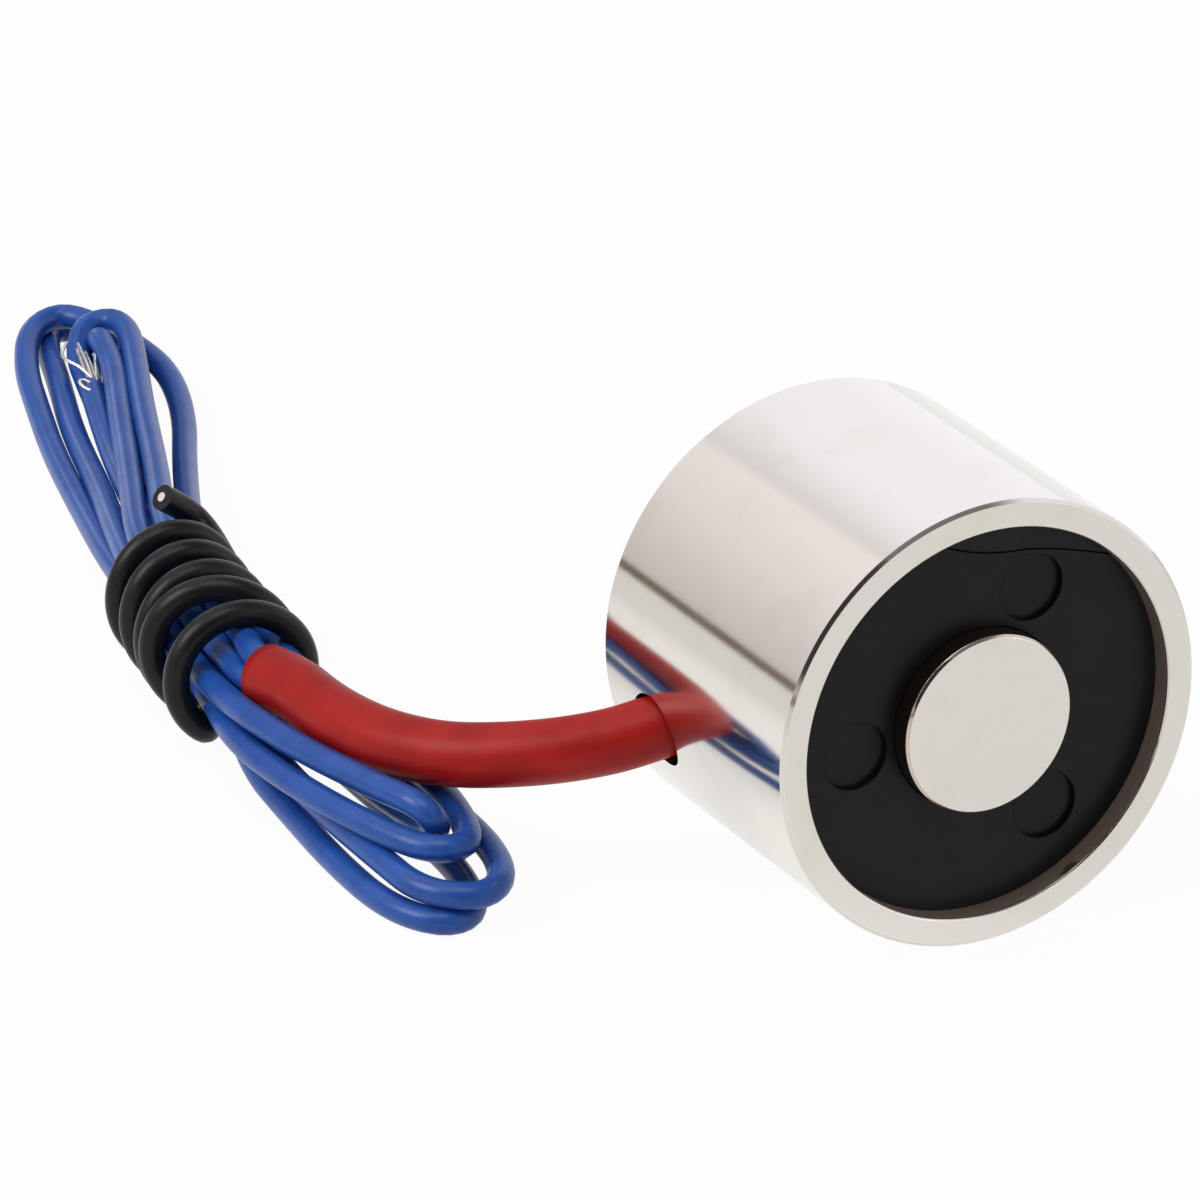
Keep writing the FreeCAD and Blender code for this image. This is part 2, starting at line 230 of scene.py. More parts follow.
# The bare tinned wires at the leads' far ends, and, across and up the face, the line
# where the bobbin's flange meets the resin, in millimetres.
STRANDS_A = (
    [(-8.8, 52.5, -8.0), (-8.6, 53.4, -7.6), (-8.2, 55.0, -7.4), (-7.75, 56.5, -7.3)],
    [(-8.6, 52.5, -7.9), (-8.45, 53.4, -7.5), (-8.0, 55.1, -7.2), (-7.5, 56.9, -7.2)],
    [(-8.5, 52.5, -7.9), (-8.25, 53.4, -7.6), (-7.8, 54.9, -7.4), (-7.45, 56.2, -7.4)],
    [(-8.4, 52.5, -7.9), (-8.1, 53.4, -7.6), (-7.6, 54.7, -7.3), (-7.3, 55.6, -7.3)],
    [(-8.3, 52.5, -8.0), (-7.95, 53.3, -7.7), (-7.45, 54.4, -7.5), (-7.1, 55.3, -7.5)],
    [(-8.3, 52.6, -8.0), (-7.85, 53.2, -7.8), (-7.35, 54.0, -7.6), (-7.05, 54.6, -7.5)],
    [(-8.5, 52.6, -7.8), (-8.3, 53.2, -7.4), (-7.9, 54.2, -7.2), (-7.5, 55.0, -7.1)],
    [(-8.6, 52.6, -7.7), (-8.9, 53.1, -7.4), (-9.3, 53.2, -7.4), (-9.35, 52.5, -7.5),
     (-9.1, 52.2, -7.6)],
    [(-8.4, 52.6, -7.7), (-8.6, 54.1, -7.2), (-9.0, 55.0, -7.1), (-8.9, 55.9, -7.1),
     (-8.3, 56.7, -7.1), (-7.9, 57.3, -7.2)],
)
STRANDS_B = (
    [(-15.3, 27.5, -6.0), (-14.7, 30.5, -6.4), (-13.6, 35.0, -6.8), (-12.5, 39.3, -6.95),
     (-11.2, 42.8, -6.95), (-9.15, 47.6, -7.0), (-8.3, 49.7, -7.0), (-7.4, 52.2, -7.0)],
    [(-15.2, 27.5, -6.1), (-14.6, 30.5, -6.5), (-13.5, 35.0, -6.9), (-12.3, 39.4, -7.0),
     (-10.9, 43.2, -7.05), (-9.2, 47.8, -6.95), (-7.7, 51.3, -7.1), (-7.0, 53.2, -7.0)],
)
PART_LINE = ((-2.40, 8.32), (-0.9, 7.62), (0.9, 7.20), (2.3, 7.12), (4.2, 6.72),
             (6.35, 6.02))


def smooth_line(points, name):
    """Points along the smooth line that a cord follows, read from its own spline."""
    curve = bpy.data.curves.new(name, "CURVE")
    curve.dimensions = "3D"
    curve.resolution_u = CORD_STEPS
    spline = curve.splines.new("NURBS")
    spline.points.add(len(points) - 1)
    for control, point in zip(spline.points, points):
        control.co = (*point, 1.0)
    spline.order_u = CORD_ORDER
    spline.use_endpoint_u = True
    guide = bpy.data.objects.new(name, curve)
    bpy.context.scene.collection.objects.link(guide)
    bpy.context.view_layer.update()
    line = bpy.data.meshes.new_from_object(guide)
    path = [vertex.co.copy() for vertex in line.vertices]
    bpy.data.meshes.remove(line)
    bpy.data.objects.remove(guide)
    bpy.data.curves.remove(curve)
    return path


# --------------------------------------------------------------------------- materials

class Reading:
    """A value inside a material, on which ordinary arithmetic works."""

    def __init__(self, finish, socket):
        self.finish = finish
        self.socket = socket

    def _sum(self, operation, first, second=None):
        terms = {0: first} if second is None else {0: first, 1: second}
        return self.finish.node("ShaderNodeMath", {"operation": operation}, terms)

    def __add__(self, other):
        return self._sum("ADD", self, other)

    def __sub__(self, other):
        return self._sum("SUBTRACT", self, other)

    def __rsub__(self, other):
        return self._sum("SUBTRACT", other, self)

    def __mul__(self, other):
        return self._sum("MULTIPLY", self, other)

    def __pow__(self, other):
        return self._sum("POWER", self, other)

    def __abs__(self):
        return self._sum("ABSOLUTE", self)

    __radd__ = __add__
    __rmul__ = __mul__


class Nodes:
    """The nodes of a material or of the world."""

    def __init__(self, tree):
        self.tree = tree
        tree.nodes.clear()

    def node(self, kind, settings=None, sockets=None, output=0):
        """A new node with its settings and inputs. Returns the reading of one output."""
        made = self.tree.nodes.new(kind)
        for name, value in (settings or {}).items():
            setattr(made, name, value)
        for name, value in (sockets or {}).items():
            if isinstance(value, Reading):
                self.tree.links.new(value.socket, made.inputs[name])
            else:
                made.inputs[name].default_value = value
        return Reading(self, made.outputs[output])

    def parts(self, vector):
        """The X, Y and Z of a vector."""
        return [self.node("ShaderNodeSeparateXYZ", None, {0: vector}, letter)
                for letter in "XYZ"]

    def limits(self, value, low, high, start=0.0, end=1.0, kind="SMOOTHSTEP"):
        """A value that goes from start to end while another goes from low to high."""
        return self.node("ShaderNodeMapRange", {"interpolation_type": kind},
                         {"Value": value, "From Min": low, "From Max": high,
                          "To Min": start, "To Max": end})

    def band(self, value, middle, half, soft):
        """1 within half a width of the middle, falling to 0 over the soft edge."""
        return self.limits(abs(value - middle), half, half + soft, 1.0, 0.0)

    def blend(self, first, second, factor):
        """One colour where the factor is 0 and the other where it is 1."""
        return self.node("ShaderNodeMix", {"data_type": "RGBA"},
                         {"Factor": factor, 6: colour(first), 7: colour(second)}, 2)

    def kept_on(self, attribute):
        """A value that a piece's mesh keeps on its points."""
        return self.node("ShaderNodeAttribute", {"attribute_name": attribute},
                         output="Fac")

    def ray_kinds(self):
        """Whether a ray comes from the camera, and whether from a mirroring skin."""
        return [self.node("ShaderNodeLightPath", output="Is %s Ray" % kind)
                for kind in ("Camera", "Glossy")]


class Finish(Nodes):
    """One material: its shader's fixed values are set on it, and what varies is linked."""

    def __init__(self, name, **fixed):
        self.material = bpy.data.materials.new(name)
        self.material.use_nodes = True
        super().__init__(self.material.node_tree)
        output = self.tree.nodes.new("ShaderNodeOutputMaterial")
        self.shader = self.tree.nodes.new("ShaderNodeBsdfPrincipled")
        self.tree.links.new(self.shader.outputs[0], output.inputs[0])
        for socket, value in fixed.items():
            self.shader.inputs[socket.replace("_", " ")].default_value = value
        self.place = self.node("ShaderNodeTexCoord", output="Object")

    def paint(self, **varying):
        """Links readings to the shader's inputs. Returns the material."""
        for name, reading in varying.items():
            target = self.shader.inputs[name.replace("_", " ")]
            self.tree.links.new(reading.socket, target)
        return self.material

    def speckle(self, size, detail=2.0):
        """Soft noise from 0 to 1 with blotches of about this size in metres."""
        return self.node("ShaderNodeTexNoise", {"normalize": True},
                         {"Vector": self.place, "Scale": 1.0 / size,
                          "Detail": detail, "Roughness": 0.5})

    def lines(self, along, size, detail=2.0):
        """Noise that varies along one value only, as tool marks do."""
        return self.node("ShaderNodeTexNoise", {"noise_dimensions": "1D"},
                         {"W": along, "Scale": 1.0 / size, "Detail": detail,
                          "Roughness": 0.6})

    def relief(self, height, strength, distance, under=None):
        """Bumps of a height, over the bumps under them."""
        sockets = {"Height": height, "Strength": strength, "Distance": distance}
        if under:
            sockets["Normal"] = under
        return self.node("ShaderNodeBump", None, sockets)


def colour(value):
    """A colour as an input takes it, from a reading or from red, green and blue."""
    return value if isinstance(value, Reading) else (*value, 1.0)


def nickel(name, inner_radius, painted_inner_dark, painted_inner_pale, painted_edge_reflection):
    """Bright nickel plate on a polished side, a satin face and bare turned walls inside,
    whose tones are painted light and shade over real turning rings. The chamfer round the
    face carries a painted reflection colour, and a dark burr sits on one side of the bore."""
    finish = Finish(name, Metallic=1.0)
    x, y, z = finish.parts(finish.place)
    radius = (x * x + z * z) ** 0.5
    face = finish.limits(y, FACE_Y + 0.005 * MM, FACE_Y + 0.01 * MM, 1.0, 0.0)
    edge = finish.limits(y, FACE_Y + 0.12 * MM, FACE_Y + 0.15 * MM, 1.0, 0.0) * (1 - face)
    before_back = finish.limits(y, POT_FLOOR_Y - 0.2 * MM, POT_FLOOR_Y - 0.1 * MM, 1.0, 0.0)
    inside = (finish.limits(radius, inner_radius + 0.03 * MM, inner_radius + 0.08 * MM,
                            1.0, 0.0) * (1 - face) * (1 - edge) * before_back)
    rings = finish.lines(radius + y, 0.07 * MM)
    cloud = finish.speckle(2.4 * MM)
    grain = finish.speckle(0.16 * MM)
    stain = finish.limits(cloud, 0.55, 0.72, 0.0, 0.5)
    # The chamfer round the face takes a painted reflection colour, streaked by the turning
    # rings.
    plate = finish.blend(finish.blend(NICKEL_TONE, NICKEL_STAIN, stain), painted_edge_reflection,
                         edge * rings)
    # The inner walls take painted tones: light and shade painted over the real turning
    # rings.
    bare = finish.blend(painted_inner_dark, painted_inner_pale, rings)
    burr = finish.node("ShaderNodeVectorMath", {"operation": "DISTANCE"},
                       {0: finish.place, 1: BURR_PLACE}, "Value")
    burr = finish.limits(burr + cloud * 0.5 * MM - grain * 0.5 * MM, 0.30 * MM, 0.55 * MM,
                         1.0, 0.0)
    bare = finish.blend(bare, BURR_TONE, burr * 0.8)
    return finish.paint(
        Base_Color=finish.blend(plate, bare, inside),
        Metallic=1 - inside * 0.45,
        Roughness=grain * 0.05 + cloud * 0.02 + face * 0.13 + inside * 0.30 + 0.07,
        Normal=finish.relief(grain * 0.4 + rings * (inside * 5.0 + face * 0.5 + 0.15),
                             0.35, 0.0022 * MM),
    )


def tinned():
    """Dull tin over fine copper strands, duller where it has been handled."""
    finish = Finish("tinned_copper_strand", Metallic=1.0)
    cloud = finish.speckle(0.5 * MM)
    grain = finish.speckle(0.05 * MM, 1.0)
    return finish.paint(
        Base_Color=finish.blend((0.80, 0.78, 0.74), (0.50, 0.47, 0.43),
                                finish.limits(cloud, 0.5, 0.75)),
        Roughness=grain * 0.12 + 0.20,
        Normal=finish.relief(grain, 0.3, 0.004 * MM),
    )


def plastic(name, tone, pale, roughness, grain_size, grain_depth, **fixed):
    """Moulded or cast plastic with a fine skin and a little dust."""
    finish = Finish(name, **fixed)
    grain = finish.speckle(grain_size, 4.0)
    cloud = finish.speckle(1.8 * MM)
    return finish.paint(
        Base_Color=finish.blend(tone, pale, finish.limits(cloud, 0.4, 0.8)),
        Roughness=grain * 0.14 + (roughness - 0.07),
        Normal=finish.relief(grain, 0.5, grain_depth),
    )


def moulded_flange():
    """The bobbin's nylon, with a fine dark line where each ejector pin has pressed."""
    finish = Finish("black_bobbin_nylon", Specular_IOR_Level=0.18)
    x, y, z = finish.parts(finish.place)
    line = 0.0
    for angle in MARK_ANGLES:
        turn = math.radians(angle)
        across = x - math.cos(turn) * MARK_CIRCLE_RADIUS
        up = z - math.sin(turn) * MARK_CIRCLE_RADIUS
        line = finish.band((across * across + up * up) ** 0.5, MARK_RADIUS, 0.025 * MM,
                           0.03 * MM) + line
    grain = finish.speckle(0.14 * MM, 4.0)
    cloud = finish.speckle(1.8 * MM)
    skin = finish.blend((0.0060, 0.0060, 0.0072), (0.0085, 0.0085, 0.0100),
                        finish.limits(cloud, 0.4, 0.8))
    return finish.paint(
        Base_Color=finish.blend(skin, (0.0008, 0.0008, 0.0010), line * 0.8),
        Roughness=grain * 0.14 + line * 0.3 + 0.29,
        Normal=finish.relief(grain, 0.5, 0.006 * MM),
    )


def insulation(name, tone, deep, bloom):
    """Soft coloured insulation: a waxy skin that creases where it is folded."""
    finish = Finish(name, Specular_IOR_Level=0.34)
    cloud = finish.speckle(1.6 * MM, 3.0)
    grain = finish.speckle(0.09 * MM, 3.0)
    folded = finish.limits(finish.kept_on("bend"), 0.15, 0.6)
    crease = finish.lines(finish.kept_on("run"), 0.32 * MM, 1.0) * folded
    scuff = finish.limits(finish.speckle(0.35 * MM, 4.0), 0.62, 0.74)
    return finish.paint(
        Base_Color=finish.blend(finish.blend(tone, deep, finish.limits(cloud, 0.35, 0.75)),
                                bloom, scuff * 0.25),
        Roughness=grain * 0.10 + cloud * 0.08 + 0.23,
        Normal=finish.relief(grain, 0.25, 0.01 * MM,
                             finish.relief(crease, 0.35, 0.03 * MM)),
    )


def shrink_sleeve():
    """Red heat-shrink, with a slow ripple along it."""
    finish = Finish("red_shrink_sleeve", Specular_IOR_Level=0.22)
    cloud = finish.speckle(2.2 * MM, 3.0)
    grain = finish.speckle(0.10 * MM, 3.0)
    ripple = finish.lines(finish.kept_on("run"), 0.9 * MM, 1.0)
    return finish.paint(
        Base_Color=finish.blend((0.37, 0.0085, 0.0040), (0.29, 0.0050, 0.0035),
                                finish.limits(cloud, 0.35, 0.75)),
        Roughness=grain * 0.10 + cloud * 0.06 + 0.36,
        Normal=finish.relief(grain, 0.2, 0.008 * MM,
                             finish.relief(ripple, 0.4, 0.03 * MM)),
    )


def pale_rim():
    """The sleeve's cut ends, paler than its skin."""
    finish = Finish("sleeve_cut_rim")
    cloud = finish.speckle(0.3 * MM)
    return finish.paint(
        Base_Color=finish.blend((0.58, 0.10, 0.10), (0.45, 0.05, 0.05), cloud),
        Roughness=cloud * 0.1 + 0.4,
    )


def winding_wire():
    """Enamelled copper, one fine turn beside another."""
    finish = Finish("enamelled_copper_winding", Metallic=0.9)
    along = finish.parts(finish.place)[1]
    turns = finish.node("ShaderNodeMath", {"operation": "SINE"},
                        {0: along * (math.tau / WIRE_PITCH)})
    cloud = finish.speckle(1.5 * MM)
    return finish.paint(
        Base_Color=finish.blend((0.56, 0.24, 0.10), (0.66, 0.33, 0.16), cloud),
        Roughness=cloud * 0.1 + 0.22,
        Normal=finish.relief(turns, 0.8, 0.03 * MM),
    )


def gap():
    """Painted shade: a black, lightless skin standing for the shade at the bottom of a fine
    gap.
    """
    finish = Finish("painted_gap_shade", Specular_IOR_Level=0.0)
    grain = finish.speckle(0.2 * MM)
    return finish.paint(
        Base_Color=finish.blend((0.0012, 0.0012, 0.0014), (0.0025, 0.0024, 0.0025), grain),
        Roughness=grain * 0.1 + 0.85,
    )


WIRE_PITCH = 0.12 * MM
NICKEL_TONE = (0.84, 0.80, 0.75)
NICKEL_STAIN = (0.84 * 0.96, 0.80 * 0.93, 0.75 * 0.86)
BURR_PLACE = (4.25 * MM, FACE_Y, -7.75 * MM)
BURR_TONE = (0.03, 0.022, 0.018)

BLUE = insulation("blue_lead_insulation", (0.0160, 0.082, 0.355), (0.0115, 0.062, 0.290),
                  (0.07, 0.15, 0.46))
# Inner-wall and edge tones are painted: a brown light in the pot's bore, near-black shade
# on the pole's side, and chamfer reflections at the face edges.
POT_NICKEL = nickel("nickel_plated_pot", BORE_RADIUS, (0.20, 0.145, 0.11),
                    (0.42, 0.33, 0.27), (0.60, 0.55, 0.50))
POLE_NICKEL = nickel("nickel_plated_pole", POLE_RADIUS, (0.010, 0.007, 0.006),
                     (0.045, 0.026, 0.017), (0.42, 0.27, 0.16))
TINNED = tinned()
BOBBIN_NYLON = moulded_flange()
RESIN = plastic("black_potting_resin", (0.0060, 0.0055, 0.0058), (0.010, 0.009, 0.009),
                0.30, 0.25 * MM, 0.02 * MM, Specular_IOR_Level=0.2)
TIE_PLASTIC = plastic("black_tie_insulation", (0.0085, 0.0078, 0.0078),
                      (0.013, 0.012, 0.012), 0.33, 0.12 * MM, 0.008 * MM,
                      Specular_IOR_Level=0.22)
TAPE = plastic("yellow_winding_tape", (0.62, 0.50, 0.12), (0.70, 0.60, 0.20), 0.30,
               0.3 * MM, 0.004 * MM)
# A black skin of painted shade for the fine gap at the flange's part line.
GAP_SHADE = gap()
RED = shrink_sleeve()
COPPER = winding_wire()
RIM = pale_rim()

# ------------------------------------------------------------------------------ pieces

POT_STEPS = 256
POLE_STEPS = 192
CORNER_STEPS = 4
SIDE_BANDS = 20
ON_SIDE = 0.998
FACING_OUT = 0.999
THREAD_TURNS = 10
THREAD_STEPS = 40
CORD_SIDES = 20
TIE_SIDES = 24
SLEEVE_SIDES = 40
STRAND_SIDES = 10
PART_LINE_SIDES = 8
SHARP_ANGLE = 35.0
CORD_SHARP_ANGLE = 60
DRILL_LENGTH = 4 * MM
DRILL_INSET = 0.6 * MM
WELD = 1e-7
LEAST_STEP = 1e-9


def finished(bm, name, *materials, smooth=SHARP_ANGLE):
    """A piece from a bmesh, shaded smooth but for edges sharper than this angle."""
    mesh = bpy.data.meshes.new(name)
    bm.to_mesh(mesh)
    bm.free()
    for material in materials:
        mesh.materials.append(material)
    mesh.shade_smooth()
    mesh.set_sharp_from_angle(angle=math.radians(smooth))
    piece = bpy.data.objects.new(name, mesh)
    bpy.context.scene.collection.objects.link(piece)
    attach(piece, "root")
    return piece


def turned(outline, steps, closed=True):
    """A lathe form about Y from points (radius, y), in the order of the outline."""
    bm = bmesh.new()
    points = [bm.verts.new((radius, y, 0.0)) for radius, y in outline]
    pairs = list(zip(points, points[1:]))
    if closed:
        pairs.append((points[-1], points[0]))
    edges = [bm.edges.new(pair) for pair in pairs]
    bmesh.ops.spin(bm, geom=points + edges, cent=(0, 0, 0), axis=(0, 1, 0),
                   angle=math.tau, steps=steps, use_merge=True)
    bmesh.ops.remove_doubles(bm, verts=bm.verts, dist=WELD)
    bmesh.ops.recalc_face_normals(bm, faces=bm.faces)
    return bm


def rounded(corner, before, after, radius):
    """Points of a small arc in place of a corner of a lathe outline."""
    corner, before, after = (Vector(point) for point in (corner, before, after))
    to_before = (before - corner).normalized()
    to_after = (after - corner).normalized()
    half = to_before.angle(to_after) / 2
    reach = radius / math.tan(half)
    centre = corner + (to_before + to_after).normalized() * (radius / math.sin(half))
    first = corner + to_before * reach - centre
    last = corner + to_after * reach - centre
    return [tuple(centre + first.slerp(last, step / CORNER_STEPS) * radius)
            for step in range(CORNER_STEPS + 1)]


def softened(outline, radii):
    """A lathe outline with its corners rounded by the given radii, 0 for a sharp one."""
    made = []
    for index, (corner, radius) in enumerate(zip(outline, radii)):
        if radius:
            after = outline[(index + 1) % len(outline)]
            made += rounded(corner, outline[index - 1], after, radius)
        else:
            made.append(corner)
    return made


def drilled(pot):
    """The pot's mesh with the lead exit cut through its side."""
    drill = bmesh.new()
    bmesh.ops.create_cone(drill, cap_ends=True, segments=72, radius1=EXIT_HOLE_RADIUS,
                          radius2=EXIT_HOLE_RADIUS, depth=DRILL_LENGTH)
    turn = Vector((0, 0, 1)).rotation_difference(OUTWARD).to_matrix().to_4x4()
    middle = OUTWARD * (POT_RADIUS - DRILL_INSET) + Vector((0, EXIT_HOLE_Y, 0))
    bmesh.ops.transform(drill, matrix=Matrix.Translation(middle) @ turn, verts=drill.verts)
    drill_mesh = bpy.data.meshes.new("exit_hole_drill")
    drill.to_mesh(drill_mesh)
    drill.free()
    cutter = bpy.data.objects.new("exit_hole_drill", drill_mesh)
    bpy.context.scene.collection.objects.link(cutter)
    cut = pot.modifiers.new("exit_hole", "BOOLEAN")
    cut.object = cutter
    cut.operation = "DIFFERENCE"
    cut.solver = "EXACT"
    bpy.context.view_layer.update()
    mesh = bpy.data.meshes.new_from_object(
        pot.evaluated_get(bpy.context.evaluated_depsgraph_get()))
    pot.modifiers.clear()
    bpy.data.objects.remove(cutter)
    return mesh


def smooth_side(mesh):
    """Gives the pot's round side the normals of a true cylinder, also beside the hole."""
    mesh.shade_smooth()
    mesh.set_sharp_from_angle(angle=math.radians(SHARP_ANGLE))
    ways = [Vector(corner.vector) for corner in mesh.corner_normals]
    for face in mesh.polygons:
        spoke = Vector((face.center.x, 0, face.center.z))
        on_side = spoke.length > POT_RADIUS * ON_SIDE
        if on_side and face.normal.dot(spoke.normalized()) > FACING_OUT:
            for corner in face.loop_indices:
                at = mesh.vertices[mesh.loops[corner].vertex_index].co
                ways[corner] = Vector((at.x, 0, at.z)).normalized()
    mesh.normals_split_custom_set(ways)


def make_pot():
    rim, lip = 0.15 * MM, 0.06 * MM
    outline = (
        (SPIGOT_RADIUS, BACK_Y), (POT_RADIUS - rim, BACK_Y), (POT_RADIUS, BACK_Y - rim),
        (POT_RADIUS, FACE_Y + rim), (POT_RADIUS - rim, FACE_Y), (BORE_RADIUS + lip, FACE_Y),
        (BORE_RADIUS, FACE_Y + lip), (BORE_RADIUS, POT_FLOOR_Y),
        (SPIGOT_RADIUS, POT_FLOOR_Y),
    )
    back_edge, bore_edge = 0.05 * MM, 0.02 * MM
    radii = (0, back_edge, back_edge, 0, 0, bore_edge, bore_edge, 0, 0)
    bm = turned(softened(outline, radii), POT_STEPS)
    for band in range(1, SIDE_BANDS):
        y = BACK_Y + (FACE_Y - BACK_Y) * band / SIDE_BANDS
        bmesh.ops.bisect_plane(bm, geom=bm.verts[:] + bm.edges[:] + bm.faces[:],
                               plane_co=(0, y, 0), plane_no=(0, 1, 0))
    pot = finished(bm, "pot_body", POT_NICKEL)
    pot.data = drilled(pot)
    pot.data.name = "pot_body"
    smooth_side(pot.data)
    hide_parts("pot_shell")


def make_pole():
    chamfer = 0.12 * MM
    sink = THREAD_RADIUS + 0.1 * MM
    point = THREAD_RADIUS * 0.6
    outline = (
        (0, FACE_Y), (POLE_RADIUS - chamfer, FACE_Y), (POLE_RADIUS, FACE_Y + chamfer),
        (POLE_RADIUS, POT_FLOOR_Y), (SPIGOT_RADIUS, POT_FLOOR_Y), (SPIGOT_RADIUS, BACK_Y),
        (sink, BACK_Y), (THREAD_RADIUS, BACK_Y - 0.3 * MM),
        (THREAD_RADIUS, BACK_Y - THREAD_DEPTH), (0, BACK_Y - THREAD_DEPTH - point),
    )
    face_edge, back_edge, sink_edge = 0.04 * MM, 0.02 * MM, 0.03 * MM
    radii = (0, face_edge, face_edge, 0, 0, back_edge, sink_edge, 0, 0, 0)
    bm = turned(softened(outline, radii), POLE_STEPS, closed=False)
    pole = finished(bm, "pole_body", POLE_NICKEL)
    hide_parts("core_pole")


def make_thread():
    """The ridge of the mounting thread, which runs down the tapped hole."""
    bm = bmesh.new()
    half = THREAD_PITCH * 0.42
    start = BACK_Y - 0.25 * MM
    root = THREAD_RADIUS + 0.02 * MM
    crest = TAPPED_RADIUS + 0.01 * MM
    profile = ((root, start + half), (crest, start + half * 0.25),
               (crest, start - half * 0.25), (root, start - half))
    points = [bm.verts.new((radius, y, 0)) for radius, y in profile]
    edges = [bm.edges.new(pair) for pair in zip(points, points[1:])]
    steps = THREAD_STEPS * THREAD_TURNS
    bmesh.ops.spin(bm, geom=points + edges, cent=(0, 0, 0), axis=(0, 1, 0),
                   angle=math.tau * THREAD_TURNS, steps=steps,
                   dvec=(0, -THREAD_PITCH * THREAD_TURNS / steps, 0))
    bmesh.ops.recalc_face_normals(bm, faces=bm.faces)
    thread = finished(bm, "mounting_thread_ridge", POLE_NICKEL)


def frames_along(path):
    """A place and an unturning cross-section for each point of a path."""
    frames = []
    ways = []
    for index, point in enumerate(path):
        before = path[max(index - 1, 0)]
        after = path[min(index + 1, len(path) - 1)]
        ways.append((after - before).normalized())
    turn = Vector((0, 0, 1)).rotation_difference(ways[0])
    for index, (point, way) in enumerate(zip(path, ways)):
        if index:
            turn = ways[index - 1].rotation_difference(way) @ turn
        frames.append(Matrix.Translation(point) @ turn.to_matrix().to_4x4())
    return frames


def tube(path, radius, sides=CORD_SIDES, capped=True):
    """A round tube along a path, with its distance along and its bend kept for the skin."""
    bm = bmesh.new()
    run_layer = bm.verts.layers.float.new("run")
    bend_layer = bm.verts.layers.float.new("bend")
    girth = Matrix.Scale(radius, 4)
    stations = [station @ girth for station in frames_along(path)]
    made = bmesh.ops.create_circle(bm, cap_ends=False, segments=sides, radius=1.0)
    bmesh.ops.transform(bm, matrix=stations[0], verts=made["verts"])
    first_edges = edges = bm.edges[:]
    run = 0.0
    for index in range(1, len(path)):
        grown = bmesh.ops.extrude_edge_only(bm, edges=edges)["geom"]
        verts = [part for part in grown if isinstance(part, bmesh.types.BMVert)]
        ring = set(verts)
        edges = [part for part in grown if isinstance(part, bmesh.types.BMEdge)
                 and ring.issuperset(part.verts)]
        bmesh.ops.transform(bm, matrix=stations[index] @ stations[index - 1].inverted(),
                            verts=verts)
        way_in = path[index] - path[index - 1]
        run += way_in.length
        bend = 0.0
        if index < len(path) - 1:
            way_out = path[index + 1] - path[index]
            bend = way_in.angle(way_out, 0.0) / max(way_in.length, LEAST_STEP) * LEAD_DIA
        for vert in verts:
            vert[run_layer] = run
            vert[bend_layer] = bend
    if capped:
        bmesh.ops.contextual_create(bm, geom=edges)
        bmesh.ops.contextual_create(bm, geom=first_edges)
    bmesh.ops.recalc_face_normals(bm, faces=bm.faces)
    return bm


def path_length(path):
    return sum((b - a).length for a, b in zip(path, path[1:]))


def thinned(path, spacing):
    """The path without points that lie too close, so that a tube's rings stay apart."""
    kept = [path[0]]
    for point in path[1:-1]:
        if (point - kept[-1]).length >= spacing:
            kept.append(point)
    if (path[-1] - kept[-1]).length < spacing:
        kept.pop()
    return kept + [path[-1]]


def make_lead(points, name, *nodes):
    path = thinned(smooth_line(points, name + "_line"), 0.3 * MM)
    lead = finished(tube(path, LEAD_DIA / 2), name, BLUE, smooth=CORD_SHARP_ANGLE)
    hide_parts(*nodes)
    return lead, path


def make_sleeve():
    run = [on_route(place) for place in ROUTE[1:-1]]
    first = run[0].lerp(run[1], SLEEVE_START_SHARE)
    last = run[-2].lerp(run[-1], SLEEVE_END_SHARE)
    path = [point for point in thinned(smooth_line(run, "sleeve_line"), 0.25 * MM)
            if (point - first).dot(run[1] - run[0]) > 0
            and (point - last).dot(run[-1] - run[-2]) < 0]
    bm = tube(path, SLEEVE_RADIUS, SLEEVE_SIDES, capped=False)
    sleeve = finished(bm, "red_sleeve", RED, RIM, smooth=50)
    wall = sleeve.modifiers.new("wall", "SOLIDIFY")
    wall.thickness = SLEEVE_RADIUS - SLEEVE_BORE
    wall.offset = -1.0
    wall.material_offset_rim = 1
    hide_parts("exit_sleeve")
    return sleeve


def make_tie():
    """The tie, and the end of its metal core, which stands out of it a little."""
    path = thinned(smooth_line(tie_route(), "tie_line"), 0.2 * MM)
    tie = finished(tube(path, TIE_DIA / 2, TIE_SIDES), "black_tie", TIE_PLASTIC,
                   smooth=CORD_SHARP_ANGLE)
    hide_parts("tie_wire", "tie_wire_tail")
    way = (path[-1] - path[-2]).normalized()
    core_line = [path[-1] - way * 1.2 * MM, path[-1] + way * 0.06 * MM]
    core = finished(tube(core_line, TIE_CORE_RADIUS, TIE_SIDES), "tie_core_end", TINNED)
    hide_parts("tie_wire_core")
    return tie, core, path


def make_strands(name, lines, radius):
    """Bare tinned wires, each along its own line."""
    whole = bmesh.new()
    for line in lines:
        path = smooth_line(places(*line), name + "_line")
        strand = tube(path, radius, STRAND_SIDES)
        mesh = bpy.data.meshes.new("strand")
        strand.to_mesh(mesh)
        strand.free()
        whole.from_mesh(mesh)
        bpy.data.meshes.remove(mesh)
    strands = finished(whole, name, TINNED, smooth=CORD_SHARP_ANGLE)
    return strands


def make_part_line():
    """A black strip of painted shade along the fine gap between the flange's flat and the
    resin beside it.
    """
    line = smooth_line([Vector((across * MM, FLANGE_Y, up * MM))
                        for across, up in PART_LINE], "part_line")
    bm = tube(line, PART_LINE_RADIUS, PART_LINE_SIDES)
    part_line = finished(bm, "flange_part_line_shade", GAP_SHADE, smooth=CORD_SHARP_ANGLE)


